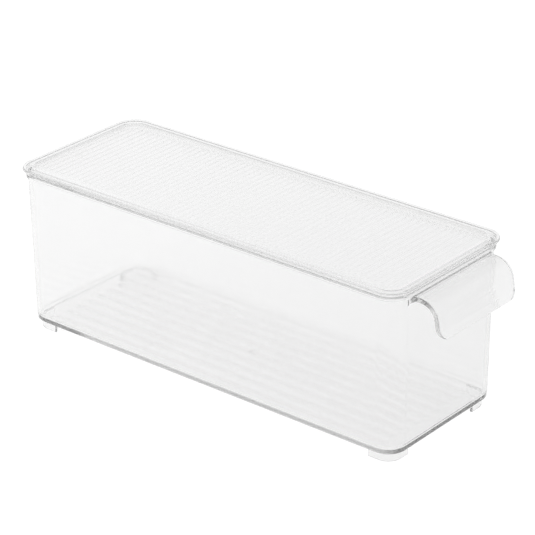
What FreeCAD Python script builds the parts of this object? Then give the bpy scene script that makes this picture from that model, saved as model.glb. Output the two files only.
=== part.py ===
import FreeCAD, Part
import math
import os

# Fridge bin with a lift-off lid. Millimetres, +Z up. The resting plane is z = 0 and the origin is
# the centre of the whole part's footprint, handle included. The handle is on the +X end.

# ---------------------------------------------------------------- driving dimensions
LID_LENGTH = 312.0            # outer edge to outer edge, along X
LID_WIDTH = 115.0             # outer edge to outer edge, along Y
LID_CORNER = 14.2             # plan radius of the lid's outer corners
RIM_CORNER = 13.6             # the same for the lid's skirt and the bin's rim
WALL_CORNER = 13.4            # the same for the bin's outer wall

FOOT_HEIGHT = 6.0             # resting plane to the tub's underside
TUB_HEIGHT = 105.9            # tub's underside to the top of its rim
WALL_INSET_TOP = 2.55         # lid's outer edge to the wall's outer face, at the rim
WALL_INSET_BOTTOM = 3.45      # the same at the underside, so the walls draft inwards
WALL = 2.2                    # wall thickness
FLOOR = 2.4                   # floor thickness
UNDERSIDE_ROUND = 2.4         # outer round where walls meet the underside
INSIDE_ROUND = 2.8            # inner round where walls meet the floor

RIM_INSET = 1.7               # lid's outer edge to the rim flange's outer face
RIM_HEIGHT = 2.6              # height of the bin's outward rim flange
RIM_ROUND = 0.5               # round along the flange's edges

FLOOR_RIBS = 9
FLOOR_RIB_PITCH = 10.3
FLOOR_RIB_WIDTH = 10.0        # at the foot of its flanks
FLOOR_RIB_HEIGHT = 0.55
FLOOR_RIB_END_GAP = 9.5       # rib's end to the inside of the end wall, at the floor
GATE_RADIUS = 3.0             # shallow round moulding recess in the underside
GATE_DEPTH = 0.4
GATE_STUB_RADIUS = 0.9        # the gate's cut-off stub inside that recess

FOOT_INSET = 3.2              # underside's edge to the foot's outer face
FOOT_X = 17.5                 # foot's size along X
FOOT_Y = 17.0                 # foot's size along Y
FOOT_WALL = 1.7               # each foot is a thin wall that follows the tub's corner
FOOT_TAPER = 0.6              # how much thicker the foot's wall is at its root
FOOT_ROUND = 0.5

HANDLE_WIDTH = 78.0
HANDLE_DROP = 1.6             # rim's top to the handle's upper face
HANDLE_THICK = 3.2            # at the root
HANDLE_TIP_THICK = 2.2
HANDLE_SINK = 0.15            # depth inside the rim flange at which the handle's rounds begin
HANDLE_FLAT = 5.65            # level run from there to the bend
HANDLE_BEND = 13.5            # radius of the bend, on the upper face
HANDLE_TURN = 84.0            # degrees that the bend turns down
HANDLE_FLICK = 10.0           # degrees that the tip turns back out
HANDLE_FLICK_RADIUS = 40.0
HANDLE_LAST = 4.0             # straight run at the tip
HANDLE_CORNER = 8.0           # round of the lower corners, seen from the end
HANDLE_FLARE = 3.5            # plan radius by which the handle widens into the wall
HANDLE_ROOT_ROUND = 0.5       # round between the rim and the handle's upper face
HANDLE_UNDER_ROUND = 3.5      # round between the wall and the handle's underside
HANDLE_EDGE_ROUND = 0.6       # round along the handle's sides and lower edge

SEAT_GAP = 0.2                # air left between the lid's skirt and the bin's rim
LID_RISE = 4.4                # rim's top to the crest of the lid's raised rim
FLANGE_HEIGHT = 2.3           # height of the lid's outermost edge band
SKIRT_INSET = 1.6             # lid's outer edge to the skirt's outer face
SKIRT_WALL = 1.6
RIM_SECTION = 2.2             # crest to the roof of the channel that sits over the bin's rim
CREST_WIDTH = 6.2             # outer edge to the top of the inner slope
SLOPE_RUN = 2.6               # plan width of the slope from crest to panel
SLOPE_ROUND = 5.0             # round at the slope's foot and along its crest
PANEL_DROP = 0.8              # crest to the panel's top face
PANEL_THICK = 2.0
LIP_CLEARANCE = 0.5           # locating lip to the bin's inner wall
LIP_WALL = 1.4
LIP_TAPER = 0.3               # the lip leans inwards by this much at its lower edge
LIP_DEPTH = 3.0               # how far the lip reaches below the bin's rim
FLANGE_ROUND = 1.0

LID_RIBS = 57
LID_RIB_PITCH = 5.0
LID_RIB_WIDTH = 4.9           # at the foot of its flanks
LID_RIB_HEIGHT = 0.2
LID_RIB_MARGIN = 11.5         # lid's outer edge to the ribs' ends, along Y

RIB_SINK = 0.02               # every rib's flanks start this far inside the face they stand on
RIB_ROOT = 0.6                # depth by which a rib is built into that face

# ---------------------------------------------------------------- worked-out places
HALF_LENGTH = LID_LENGTH / 2
HALF_WIDTH = LID_WIDTH / 2
UNDERSIDE_Z = FOOT_HEIGHT
FLOOR_Z = UNDERSIDE_Z + FLOOR
RIM_Z = UNDERSIDE_Z + TUB_HEIGHT
CREST_Z = RIM_Z + LID_RISE


def rounded_wire(inset, z, radius):
    """Closed rounded rectangle, this far inside the lid's outer edge, at height z."""
    half_x = HALF_LENGTH - inset
    half_y = HALF_WIDTH - inset
    edges = []
    corners = [(1, 1, 0), (-1, 1, 90), (-1, -1, 180), (1, -1, 270)]
    for index, (sign_x, sign_y, start) in enumerate(corners):
        centre = FreeCAD.Vector(sign_x * (half_x - radius), sign_y * (half_y - radius), z)
        circle = Part.Circle(centre, FreeCAD.Vector(0, 0, 1), radius)
        first = math.radians(start)
        arc = Part.ArcOfCircle(circle, first, first + math.pi / 2)
        edges.append(arc.toShape())
        next_x, next_y, _ = corners[(index + 1) % 4]
        if index % 2 == 0:
            ahead = FreeCAD.Vector(next_x * (half_x - radius), sign_y * half_y, z)
        else:
            ahead = FreeCAD.Vector(sign_x * half_x, next_y * (half_y - radius), z)
        edges.append(Part.LineSegment(arc.EndPoint, ahead).toShape())
    return Part.Wire(edges)


def block(low_inset, low_z, high_inset, high_z, radius):
    """Solid between two rounded rectangles, with straight or drafted sides."""
    wires = [rounded_wire(low_inset, low_z, radius), rounded_wire(high_inset, high_z, radius)]
    return Part.makeLoft(wires, True, True)


def edges_at(shape, z):
    """Edges that lie level at height z."""
    return [edge for edge in shape.Edges
            if abs(edge.BoundBox.ZMin - z) < 1e-4 and abs(edge.BoundBox.ZMax - z) < 1e-4]


def wall_inset(z):
    """Inset of the drafted outer wall at height z."""
    share = (z - UNDERSIDE_Z) / TUB_HEIGHT
    return WALL_INSET_BOTTOM + (WALL_INSET_TOP - WALL_INSET_BOTTOM) * share


def soft_rib(centre, direction, length, width, height):
    """Low ridge that flows into the level face through its centre, along its flanks and round its ends.

    Its section is a convex arc between two concave arcs of the same radius, all tangent."""
    up = FreeCAD.Vector(0, 0, 1)
    across = up.cross(direction)
    radius = ((width / 4) ** 2 + (height / 2) ** 2) / height
    half_turn = math.asin(width / 4 / radius) / 2
    flank_out = width / 2 - radius * math.sin(half_turn)
    flank_up = radius * (1 - math.cos(half_turn)) - RIB_SINK
    half_run = (length - width) / 2

    def half_section(origin, side):
        """Half of the rib's section, from its axis out to one side."""
        def point(out, high):
            return origin + side * out + up * high
        crest = point(0, height - RIB_SINK)
        turn = point(width / 4, height / 2 - RIB_SINK)
        low = point(width / 2, -RIB_SINK)
        crest_mid = point(radius * math.sin(half_turn),
                          height - RIB_SINK - radius * (1 - math.cos(half_turn)))
        curves = [
            Part.Arc(crest, crest_mid, turn),
            Part.Arc(turn, point(flank_out, flank_up), low),
            Part.LineSegment(low, point(width / 2, -RIB_ROOT)),
            Part.LineSegment(point(width / 2, -RIB_ROOT), point(0, -RIB_ROOT)),
            Part.LineSegment(point(0, -RIB_ROOT), crest),
        ]
        return Part.Face(Part.Wire([curve.toShape() for curve in curves]))

    start = centre - direction * half_run
    end = centre + direction * half_run
    run = direction * (2 * half_run)
    pieces = [
        half_section(start, across).extrude(run),
        half_section(start, across * -1).extrude(run),
        half_section(start, across).revolve(start, up, 180),
        half_section(end, across * -1).revolve(end, up, 180),
    ]
    return pieces[0].fuse(pieces[1:]).removeSplitter()


def tub():
    """Drafted outer block less the drafted inside."""
    outer = block(WALL_INSET_BOTTOM, UNDERSIDE_Z, WALL_INSET_TOP, RIM_Z, WALL_CORNER)
    outer = outer.makeFillet(UNDERSIDE_ROUND, edges_at(outer, UNDERSIDE_Z))
    low = wall_inset(FLOOR_Z) + WALL
    high = WALL_INSET_TOP + WALL
    above = 2.0
    slope = (high - low) / (RIM_Z - FLOOR_Z)
    inner = block(low, FLOOR_Z, high + slope * above, RIM_Z + above, WALL_CORNER - WALL)
    inner = inner.makeFillet(INSIDE_ROUND, edges_at(inner, FLOOR_Z))
    return outer, inner


def rim_flange():
    """Thin outward band around the top of the tub."""
    low_z = RIM_Z - RIM_HEIGHT
    band = block(RIM_INSET, low_z, RIM_INSET, RIM_Z, RIM_CORNER)
    band = band.makeFillet(RIM_ROUND, edges_at(band, low_z) + edges_at(band, RIM_Z))
    return band


def handle():
    """Curved pull lip on the +X end: level at the rim, then down, with a slight outward flick."""
    top = RIM_Z - HANDLE_DROP
    low = top - HANDLE_THICK
    inside_x = HALF_LENGTH - WALL_INSET_TOP - WALL / 2
    rim_x = HALF_LENGTH - RIM_INSET - HANDLE_SINK
    wall_x = HALF_LENGTH - wall_inset(low) - HANDLE_SINK
    bend_x = rim_x + HANDLE_FLAT
    centre = FreeCAD.Vector(bend_x, 0, top - HANDLE_BEND)

    def bend_point(radius, degrees):
        angle = math.radians(degrees)
        return centre + FreeCAD.Vector(radius * math.sin(angle), 0, radius * math.cos(angle))

    def flick_point(start, radius, degrees):
        """Point on the reverse curve, this many degrees on from where the bend ends."""
        turn = math.radians(HANDLE_TURN)
        normal = FreeCAD.Vector(math.sin(turn), 0, math.cos(turn))
        middle = start + normal * radius
        angle = turn - math.radians(degrees)
        return middle - FreeCAD.Vector(math.sin(angle), 0, math.cos(angle)) * radius

    inner_radius = HANDLE_BEND - HANDLE_THICK
    outer_end = bend_point(HANDLE_BEND, HANDLE_TURN)
    inner_end = bend_point(inner_radius, HANDLE_TURN)
    flick_half = HANDLE_FLICK / 2
    inner_flick_radius = HANDLE_FLICK_RADIUS + HANDLE_THICK
    outer_flick = flick_point(outer_end, HANDLE_FLICK_RADIUS, HANDLE_FLICK)
    inner_flick = flick_point(inner_end, inner_flick_radius, HANDLE_FLICK)
    last = math.radians(HANDLE_TURN - HANDLE_FLICK)
    along = FreeCAD.Vector(math.cos(last), 0, -math.sin(last))
    across = FreeCAD.Vector(-math.sin(last), 0, -math.cos(last))
    outer_tip = outer_flick + along * HANDLE_LAST
    inner_tip = outer_tip + across * HANDLE_TIP_THICK
    tip = (outer_tip + inner_tip) * 0.5 + along * (HANDLE_TIP_THICK / 2)

    root = HANDLE_ROOT_ROUND
    share = root * (1 - math.sqrt(0.5))
    under = HANDLE_UNDER_ROUND
    under_share = under * (1 - math.sqrt(0.5))
    points = {
        "inside_high": FreeCAD.Vector(inside_x, 0, top + root),
        "rim": FreeCAD.Vector(rim_x, 0, top + root),
        "rim_mid": FreeCAD.Vector(rim_x + share, 0, top + share),
        "flat_top": FreeCAD.Vector(rim_x + root, 0, top),
        "bend_top": FreeCAD.Vector(bend_x, 0, top),
        "bend_low": FreeCAD.Vector(bend_x, 0, low),
        "flat_low": FreeCAD.Vector(wall_x + under, 0, low),
        "wall_mid": FreeCAD.Vector(wall_x + under_share, 0, low - under_share),
        "wall": FreeCAD.Vector(wall_x, 0, low - under),
        "inside_low": FreeCAD.Vector(inside_x, 0, low - under),
    }
    middle = HANDLE_TURN / 2
    curves = [
        Part.LineSegment(points["inside_low"], points["inside_high"]),
        Part.LineSegment(points["inside_high"], points["rim"]),
        Part.Arc(points["rim"], points["rim_mid"], points["flat_top"]),
        Part.LineSegment(points["flat_top"], points["bend_top"]),
        Part.Arc(points["bend_top"], bend_point(HANDLE_BEND, middle), outer_end),
        Part.Arc(outer_end, flick_point(outer_end, HANDLE_FLICK_RADIUS, flick_half), outer_flick),
        Part.LineSegment(outer_flick, outer_tip),
        Part.Arc(outer_tip, tip, inner_tip),
        Part.LineSegment(inner_tip, inner_flick),
        Part.Arc(inner_flick, flick_point(inner_end, inner_flick_radius, flick_half), inner_end),
        Part.Arc(inner_end, bend_point(inner_radius, middle), points["bend_low"]),
        Part.LineSegment(points["bend_low"], points["flat_low"]),
        Part.Arc(points["flat_low"], points["wall_mid"], points["wall"]),
        Part.LineSegment(points["wall"], points["inside_low"]),
    ]
    face = Part.Face(Part.Wire([curve.toShape() for curve in curves]))
    width = HANDLE_WIDTH + 2 * HANDLE_FLARE
    face.translate(FreeCAD.Vector(0, -width / 2, 0))
    plate = face.extrude(FreeCAD.Vector(0, width, 0))
    shape = plate.common(handle_front(tip)).common(handle_plan(rim_x, tip))
    return shape.makeFillet(HANDLE_EDGE_ROUND, side_edges(shape, rim_x + HANDLE_FLARE))


def side_edges(shape, start_x):
    """Handle's edges that run along its two upright sides, from start_x outwards."""
    edges = []
    for edge in shape.Edges:
        box = edge.BoundBox
        on_side = abs(abs(box.YMin) - HANDLE_WIDTH / 2) < 1e-3 and box.YMax - box.YMin < 1e-3
        if on_side and box.XMin > start_x - 0.01 and box.XMax > start_x + 0.01:
            edges.append(edge)
    return edges


def mirrored_outline(half_points, extrusion):
    """Prism whose outline is these lines and arcs and their mirror image in Y.

    Each entry is a point, or a pair of points for an arc's middle and end. The outline starts and
    ends on its widest runs, so the two halves are joined by straight edges."""
    edges = []
    for sign in (1, -1):
        side = [tuple(FreeCAD.Vector(p.x, sign * p.y, p.z) for p in entry) for entry in half_points]
        here = side[0][-1]
        for entry in side[1:]:
            if len(entry) == 1:
                edges.append(Part.LineSegment(here, entry[0]).toShape())
            else:
                edges.append(Part.Arc(here, entry[0], entry[1]).toShape())
            here = entry[-1]
    for entry in (half_points[0], half_points[-1]):
        end = entry[-1]
        edges.append(Part.LineSegment(end, FreeCAD.Vector(end.x, -end.y, end.z)).toShape())
    wire = Part.Wire(Part.__sortEdges__(edges))
    return Part.Face(wire).extrude(extrusion)


def handle_front(tip):
    """Handle's outline seen from +X: straight sides with rounded lower corners."""
    half = HANDLE_WIDTH / 2 + HANDLE_FLARE
    narrow = HANDLE_WIDTH / 2
    high_z = RIM_Z + 1.0
    step_z = RIM_Z - HANDLE_DROP - HANDLE_BEND / 2
    radius = HANDLE_CORNER
    share = radius * (1 - math.sqrt(0.5))
    low_z = tip.z
    points = [
        (FreeCAD.Vector(0, half, high_z),),
        (FreeCAD.Vector(0, half, step_z),),
        (FreeCAD.Vector(0, narrow, step_z),),
        (FreeCAD.Vector(0, narrow, low_z + radius),),
        (FreeCAD.Vector(0, narrow - share, low_z + share), FreeCAD.Vector(0, narrow - radius, low_z)),
    ]
    return mirrored_outline(points, FreeCAD.Vector(tip.x + 5.0, 0, 0))


def handle_plan(rim_x, tip):
    """Handle's outline seen from above: straight sides that flare into the rim."""
    half = HANDLE_WIDTH / 2
    flare = HANDLE_FLARE
    share = flare * (1 - math.sqrt(0.5))
    low_z = tip.z - 1.0
    points = [
        (FreeCAD.Vector(0, half + flare, low_z),),
        (FreeCAD.Vector(rim_x, half + flare, low_z),),
        (FreeCAD.Vector(rim_x + share, half + share, low_z), FreeCAD.Vector(rim_x + flare, half, low_z)),
        (FreeCAD.Vector(tip.x + 5.0, half, low_z),),
    ]
    return mirrored_outline(points, FreeCAD.Vector(0, 0, RIM_Z + 2.0 - low_z))


def corner_box(sign_x, sign_y, inset, size_x, size_y, low_z, high_z):
    """Upright box reaching in from a corner of the rectangle that lies this far inside the lid's edge."""
    edge_x = sign_x * (HALF_LENGTH - inset)
    edge_y = sign_y * (HALF_WIDTH - inset)
    box = Part.makeBox(size_x, size_y, high_z - low_z)
    box.translate(FreeCAD.Vector(min(edge_x, edge_x - sign_x * size_x),
                                 min(edge_y, edge_y - sign_y * size_y), low_z))
    return box


def foot(sign_x, sign_y):
    """Thin wall under one corner that follows the tub's corner."""
    inset = WALL_INSET_BOTTOM + FOOT_INSET
    corner = WALL_CORNER - FOOT_INSET
    into_floor = UNDERSIDE_Z + FLOOR / 2
    body = block(inset, 0.0, inset, into_floor, corner)
    body = body.makeFillet(FOOT_ROUND, edges_at(body, 0.0))
    inside = inset + FOOT_WALL
    hollow = block(inside, -1.0, inside + FOOT_TAPER, UNDERSIDE_Z, corner - FOOT_WALL)
    corner_part = corner_box(sign_x, sign_y, inset, FOOT_X, FOOT_Y, -2.0, into_floor + 1.0)
    return body.cut(hollow).common(corner_part)


def floor_ribs():
    """Long low ribs on the floor, evenly spaced about the centre line."""
    inner_half = HALF_LENGTH - wall_inset(FLOOR_Z) - WALL
    length = 2 * (inner_half - FLOOR_RIB_END_GAP)
    first = -(FLOOR_RIBS - 1) / 2 * FLOOR_RIB_PITCH
    along = FreeCAD.Vector(1, 0, 0)
    return [soft_rib(FreeCAD.Vector(0, first + FLOOR_RIB_PITCH * index, FLOOR_Z), along,
                     length, FLOOR_RIB_WIDTH, FLOOR_RIB_HEIGHT)
            for index in range(FLOOR_RIBS)]


def bin_solid():
    outer, inner = tub()
    signs = [(1, 1), (-1, 1), (-1, -1), (1, -1)]
    shape = outer.fuse([rim_flange(), handle()] + [foot(*sign) for sign in signs])
    below = FreeCAD.Vector(0, 0, UNDERSIDE_Z - 1.0)
    recess = Part.makeCylinder(GATE_RADIUS, 1.0 + GATE_DEPTH, below)
    stub = Part.makeCylinder(GATE_STUB_RADIUS, 1.0 + GATE_DEPTH, FreeCAD.Vector(0, 0, UNDERSIDE_Z))
    shape = shape.cut([inner, recess])
    shape = shape.fuse(floor_ribs() + [stub])
    return shape.removeSplitter()


def lid_shell():
    """Lid without its ribs: flange, skirt, raised rim, panel and locating lip."""
    flange_low = CREST_Z - FLANGE_HEIGHT
    skirt_low = RIM_Z + SEAT_GAP
    flange = block(0.0, flange_low, 0.0, CREST_Z, LID_CORNER)
    flange = flange.makeFillet(FLANGE_ROUND, edges_at(flange, flange_low) + edges_at(flange, CREST_Z))
    shape = flange.fuse(block(SKIRT_INSET, skirt_low, SKIRT_INSET, flange_low + 1.0, RIM_CORNER))
    panel_top = CREST_Z - PANEL_DROP
    panel_low = panel_top - PANEL_THICK
    recess = block(CREST_WIDTH + SLOPE_RUN, panel_top, CREST_WIDTH, CREST_Z, LID_CORNER - CREST_WIDTH)
    shape = shape.cut(recess.makeFillet(SLOPE_ROUND, edges_at(recess, panel_top)))
    crest_edges = [edge for edge in edges_at(shape, CREST_Z)
                   if edge.BoundBox.XMax < HALF_LENGTH - CREST_WIDTH + 0.01
                   and edge.BoundBox.YMax < HALF_WIDTH - CREST_WIDTH + 0.01
                   and edge.BoundBox.XMin > CREST_WIDTH - HALF_LENGTH - 0.01
                   and edge.BoundBox.YMin > CREST_WIDTH - HALF_WIDTH - 0.01]
    shape = shape.makeFillet(SLOPE_ROUND, crest_edges)
    lip_inset = WALL_INSET_TOP + WALL + LIP_CLEARANCE
    lip_corner = WALL_CORNER - WALL - LIP_CLEARANCE
    lip_low = RIM_Z - LIP_DEPTH
    lip = block(lip_inset + LIP_TAPER, lip_low, lip_inset, panel_low + 0.5, lip_corner)
    hollow_inset = lip_inset + LIP_WALL
    hollow = block(hollow_inset, lip_low - 1.0, hollow_inset, panel_low, lip_corner - LIP_WALL)
    channel_inset = SKIRT_INSET + SKIRT_WALL
    channel = block(channel_inset, skirt_low - 0.5, channel_inset, CREST_Z - RIM_SECTION,
                    RIM_CORNER - SKIRT_WALL)
    channel = channel.cut(block(lip_inset, lip_low, lip_inset, CREST_Z, lip_corner))
    return shape.fuse(lip).cut([hollow, channel])


def lid_ribs():
    """Fine ribs across the panel."""
    panel_top = CREST_Z - PANEL_DROP
    length = LID_WIDTH - 2 * LID_RIB_MARGIN
    first = -(LID_RIBS - 1) / 2 * LID_RIB_PITCH
    across = FreeCAD.Vector(0, 1, 0)
    return [soft_rib(FreeCAD.Vector(first + LID_RIB_PITCH * index, 0, panel_top), across,
                     length, LID_RIB_WIDTH, LID_RIB_HEIGHT)
            for index in range(LID_RIBS)]


def lid_solid():
    return lid_shell().fuse(lid_ribs()).removeSplitter()


def main():
    os.makedirs("parts", exist_ok=True)
    bin_shape = bin_solid()
    lid_shape = lid_solid()
    handle_end = bin_shape.optimalBoundingBox(False, False).XMax
    middle = (handle_end - HALF_LENGTH) / 2
    for name, shape in (("bin", bin_shape), ("lid", lid_shape)):
        shape.translate(FreeCAD.Vector(-middle, 0, 0))
        assert shape.isValid() and len(shape.Solids) == 1, name
        shape.Solids[0].exportStep("parts/" + name + ".step")
        size = shape.optimalBoundingBox(False, False)
        print(name, "volume mm3", round(shape.Volume), "size mm", round(size.XLength, 2),
              round(size.YLength, 2), round(size.ZLength, 2), "middle", round(middle, 3))


main()
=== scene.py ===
import bpy
import math
from mathutils import Matrix, Vector

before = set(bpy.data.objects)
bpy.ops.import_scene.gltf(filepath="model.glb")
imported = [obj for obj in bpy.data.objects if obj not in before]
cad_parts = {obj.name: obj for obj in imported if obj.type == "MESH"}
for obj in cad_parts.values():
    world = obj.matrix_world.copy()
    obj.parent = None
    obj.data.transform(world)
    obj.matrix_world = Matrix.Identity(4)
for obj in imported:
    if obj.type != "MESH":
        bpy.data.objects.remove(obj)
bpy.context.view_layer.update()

# ---------------------------------------------------------------- view
CAMERA_AZIMUTH = 39.81        # degrees round from -Y towards +X
CAMERA_ELEVATION = 25.43      # degrees
CAMERA_ROLL = -0.46           # degrees
CAMERA_DISTANCE = 1.5128      # metres from the point looked at
CAMERA_TARGET = (-0.0024, 0.0047, 0.0690)
CAMERA_LENS = 159.0           # mm
CAMERA_SENSOR = 36.0          # mm

# ---------------------------------------------------------------- plastic
# Scales are per metre, depths in metres, absorption densities per metre. Roughness and tint run from
# their low to their high value with the clouds.
LOOKS = {
    "bin": {
        "ior": 1.52,
        "rough_low": 0.06, "rough_high": 0.12,
        "tint_low": (0.98, 0.98, 0.98, 1), "tint_high": (0.99, 0.99, 0.99, 1),
        "wave_scale": 45.0, "wave_depth": 0.00004,
        "grain_scale": 900.0, "grain_depth": 0.0000008,
        "cloud_scale": 60.0,
        "absorb_color": (0.7, 0.7, 0.7, 1), "absorb_density": 5.5,
    },
    "lid": {
        "ior": 1.52,
        "rough_low": 0.04, "rough_high": 0.08,
        "tint_low": (0.985, 0.985, 0.985, 1), "tint_high": (0.995, 0.995, 0.995, 1),
        "wave_scale": 30.0, "wave_depth": 0.00002,
        "grain_scale": 900.0, "grain_depth": 0.0000003,
        "cloud_scale": 60.0,
        "absorb_color": (0.7, 0.7, 0.7, 1), "absorb_density": 2.0,
    },
}
WAVE_DETAIL = 1.0
GRAIN_DETAIL = 2.0
CLOUD_DETAIL = 3.0
NOISE_LOW = 0.3               # a noise node's usual range
NOISE_HIGH = 0.7
BOUNCES = 128                 # light runs a long way inside clear plastic
TRANSPARENT_BOUNCES = 16

# ---------------------------------------------------------------- studio
# Each span is how far the view direction, of length 1, reaches along an axis.
HORIZON_LEVEL = 1.0
SKY_LEVEL = 0.54
SKY_SPAN = (0.15, 0.75)       # along +Z, from the horizon's level to the sky's
FLAG_LEVEL = 0.62             # grey flag behind the object
FLAG_SPAN = (-0.3, 0.0)       # along +X, from no flag to all of it
CARD_LEVEL = 0.88             # pale card to the right of the flag
CARD_SPAN = (0.1, 0.35)       # along +X
NEAR_SIDE_LEVEL = 0.92
NEAR_SIDE_SPAN = (-0.4, 0.1)  # along -Y

FLOOR_HALF = 4.0              # metres
FLOOR_GAP = 0.0003            # metres that the floor lies below the feet
FLOOR_BASE = (0.1, 0.1, 0.1, 1)
FLOOR_ROUGHNESS = 0.9
FLOOR_SEEN_LEVEL = 0.97       # how brightly the floor glows where the camera sees it directly
FLOOR_FAR_LEVEL = 0.90        # painted shade: the floor glows dimmer in what the plastic shows of it, at the start of the darkening
FLOOR_NEAR_LEVEL = 0.82       # and at its end
FLOOR_SHADE_DIRECTION = (0.77, 0.64, 0)  # direction in which the painted floor shade gets darker
FLOOR_SHADE_SPAN = (-0.15, 0.17)  # metres along that direction


def make_camera():
    """Camera that looks at CAMERA_TARGET from its azimuth, elevation and distance."""
    azimuth = math.radians(CAMERA_AZIMUTH)
    elevation = math.radians(CAMERA_ELEVATION)
    back = Vector((math.sin(azimuth) * math.cos(elevation),
                   -math.cos(azimuth) * math.cos(elevation),
                   math.sin(elevation)))
    data = bpy.data.cameras.new("camera")
    data.lens = CAMERA_LENS
    data.sensor_width = CAMERA_SENSOR
    camera = bpy.data.objects.new("camera", data)
    bpy.context.scene.collection.objects.link(camera)
    turn = (-back).to_track_quat("-Z", "Y").to_matrix()
    roll = Matrix.Rotation(math.radians(CAMERA_ROLL), 3, "Z")
    place = Matrix.Translation(Vector(CAMERA_TARGET) + back * CAMERA_DISTANCE)
    camera.matrix_world = place @ (turn @ roll).to_4x4()
    bpy.context.scene.camera = camera


def ranged(tree, value, span, low_result=0.0, high_result=1.0):
    """Maps a span of a value onto another range, and holds it at the ends."""
    node = tree.nodes.new("ShaderNodeMapRange")
    node.inputs["From Min"].default_value = span[0]
    node.inputs["From Max"].default_value = span[1]
    node.inputs["To Min"].default_value = low_result
    node.inputs["To Max"].default_value = high_result
    tree.links.new(value, node.inputs["Value"])
    return node.outputs["Result"]


def mixed(tree, factor, first, second):
    """Mixes two numbers, each given as a socket or a value."""
    node = tree.nodes.new("ShaderNodeMix")
    tree.links.new(factor, node.inputs["Factor"])
    for name, source in (("A", first), ("B", second)):
        if isinstance(source, float):
            node.inputs[name].default_value = source
        else:
            tree.links.new(source, node.inputs[name])
    return node.outputs["Result"]


def along(tree, vector, direction):
    """How far a vector reaches along a direction of length 1."""
    node = tree.nodes.new("ShaderNodeVectorMath")
    node.operation = "DOT_PRODUCT"
    node.inputs[1].default_value = direction
    tree.links.new(vector, node.inputs[0])
    return node.outputs["Value"]


def make_world():
    """Soft studio: white round the horizon, pale on the near side, greyer above and on the flag."""
    world = bpy.data.worlds.new("studio")
    bpy.context.scene.world = world
    world.use_nodes = True
    tree = world.node_tree
    tree.nodes.clear()
    view = tree.nodes.new("ShaderNodeTexCoord").outputs["Generated"]
    background = tree.nodes.new("ShaderNodeBackground")
    output = tree.nodes.new("ShaderNodeOutputWorld")
    upward = along(tree, view, (0, 0, 1))
    rightward = along(tree, view, (1, 0, 0))
    nearward = along(tree, view, (0, -1, 0))
    level = ranged(tree, upward, SKY_SPAN, HORIZON_LEVEL, SKY_LEVEL)
    level = mixed(tree, ranged(tree, rightward, FLAG_SPAN), level, FLAG_LEVEL)
    level = mixed(tree, ranged(tree, rightward, CARD_SPAN), level, CARD_LEVEL)
    level = mixed(tree, ranged(tree, nearward, NEAR_SIDE_SPAN), level, NEAR_SIDE_LEVEL)
    tree.links.new(level, background.inputs["Color"])
    tree.links.new(background.outputs["Background"], output.inputs["Surface"])


def make_floor():
    """Plain pale floor that glows softly, with painted shade where the plastic shows it: dimmer
    there, and darker along one direction.
    """
    mesh = bpy.data.meshes.new("floor")
    corners = [(-FLOOR_HALF, -FLOOR_HALF, 0), (FLOOR_HALF, -FLOOR_HALF, 0),
               (FLOOR_HALF, FLOOR_HALF, 0), (-FLOOR_HALF, FLOOR_HALF, 0)]
    mesh.from_pydata(corners, [], [(0, 1, 2, 3)])
    floor = bpy.data.objects.new("floor", mesh)
    bpy.context.scene.collection.objects.link(floor)
    floor.location.z = -FLOOR_GAP
    material = bpy.data.materials.new("floor_white")
    material.use_nodes = True
    tree = material.node_tree
    shader = tree.nodes["Principled BSDF"]
    shader.inputs["Base Color"].default_value = FLOOR_BASE
    shader.inputs["Roughness"].default_value = FLOOR_ROUGHNESS
    shader.inputs["Emission Color"].default_value = (1, 1, 1, 1)
    seen_directly = tree.nodes.new("ShaderNodeLightPath").outputs["Is Camera Ray"]
    place = tree.nodes.new("ShaderNodeTexCoord").outputs["Object"]
    # painted shade: the floor the plastic shows glows dimmer, and darker still along one direction
    painted_floor_shade = ranged(tree, along(tree, place, FLOOR_SHADE_DIRECTION), FLOOR_SHADE_SPAN,
                  FLOOR_FAR_LEVEL, FLOOR_NEAR_LEVEL)
    tree.links.new(mixed(tree, seen_directly, painted_floor_shade, FLOOR_SEEN_LEVEL),
                   shader.inputs["Emission Strength"])
    mesh.materials.append(material)


def noise(tree, vector, scale, detail):
    """Noise node that reads the object's own coordinates, in metres."""
    node = tree.nodes.new("ShaderNodeTexNoise")
    node.inputs["Scale"].default_value = scale
    node.inputs["Detail"].default_value = detail
    tree.links.new(vector, node.inputs["Vector"])
    return node.outputs["Fac"]


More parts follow.
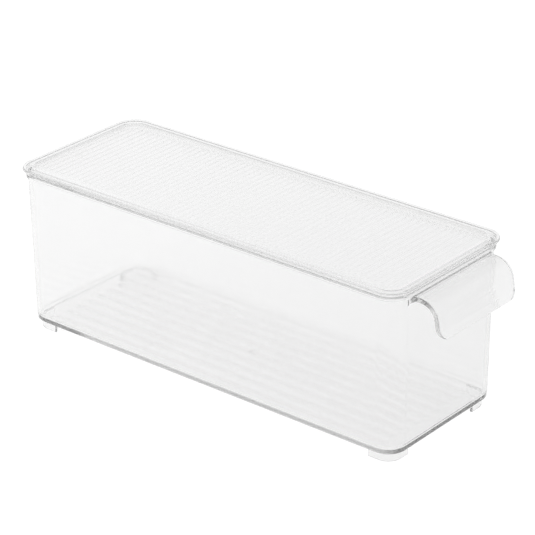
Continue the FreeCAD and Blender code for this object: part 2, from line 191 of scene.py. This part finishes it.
def bump(tree, height, distance, below=None):
    """Bump node, stacked on the one below it if there is one."""
    node = tree.nodes.new("ShaderNodeBump")
    node.inputs["Strength"].default_value = 1.0
    node.inputs["Distance"].default_value = distance
    tree.links.new(height, node.inputs["Height"])
    if below is not None:
        tree.links.new(below, node.inputs["Normal"])
    return node.outputs["Normal"]


def clear_plastic(name, look):
    """Clear moulded plastic: slow flow waves, a fine grain, uneven polish and a slight tint."""
    material = bpy.data.materials.new(name)
    material.use_nodes = True
    tree = material.node_tree
    shader = tree.nodes["Principled BSDF"]
    output = tree.nodes["Material Output"]
    place = tree.nodes.new("ShaderNodeTexCoord").outputs["Object"]
    waves = noise(tree, place, look["wave_scale"], WAVE_DETAIL)
    grain = noise(tree, place, look["grain_scale"], GRAIN_DETAIL)
    clouds = noise(tree, place, look["cloud_scale"], CLOUD_DETAIL)
    shader.inputs["Transmission Weight"].default_value = 1.0
    shader.inputs["IOR"].default_value = look["ior"]
    polish = ranged(tree, clouds, (NOISE_LOW, NOISE_HIGH), look["rough_low"], look["rough_high"])
    tree.links.new(polish, shader.inputs["Roughness"])
    tint = tree.nodes.new("ShaderNodeMix")
    tint.data_type = "RGBA"
    tint.inputs["A"].default_value = look["tint_low"]
    tint.inputs["B"].default_value = look["tint_high"]
    tree.links.new(clouds, tint.inputs["Factor"])
    tree.links.new(tint.outputs["Result"], shader.inputs["Base Color"])
    normal = bump(tree, waves, look["wave_depth"])
    normal = bump(tree, grain, look["grain_depth"], normal)
    tree.links.new(normal, shader.inputs["Normal"])
    absorption = tree.nodes.new("ShaderNodeVolumeAbsorption")
    absorption.inputs["Color"].default_value = look["absorb_color"]
    absorption.inputs["Density"].default_value = look["absorb_density"]
    tree.links.new(absorption.outputs["Volume"], output.inputs["Volume"])
    return material


def main():
    """Stages the two CAD solids, in their own shapes and in clear plastic."""
    make_camera()
    make_world()
    make_floor()
    for node, look in LOOKS.items():
        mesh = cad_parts[node].data
        mesh.materials.clear()
        mesh.materials.append(clear_plastic(node + "_plastic", look))
    scene = bpy.context.scene
    scene.view_settings.view_transform = "Standard"
    scene.cycles.max_bounces = BOUNCES
    scene.cycles.transmission_bounces = BOUNCES
    scene.cycles.glossy_bounces = BOUNCES
    scene.cycles.transparent_max_bounces = TRANSPARENT_BOUNCES


main()
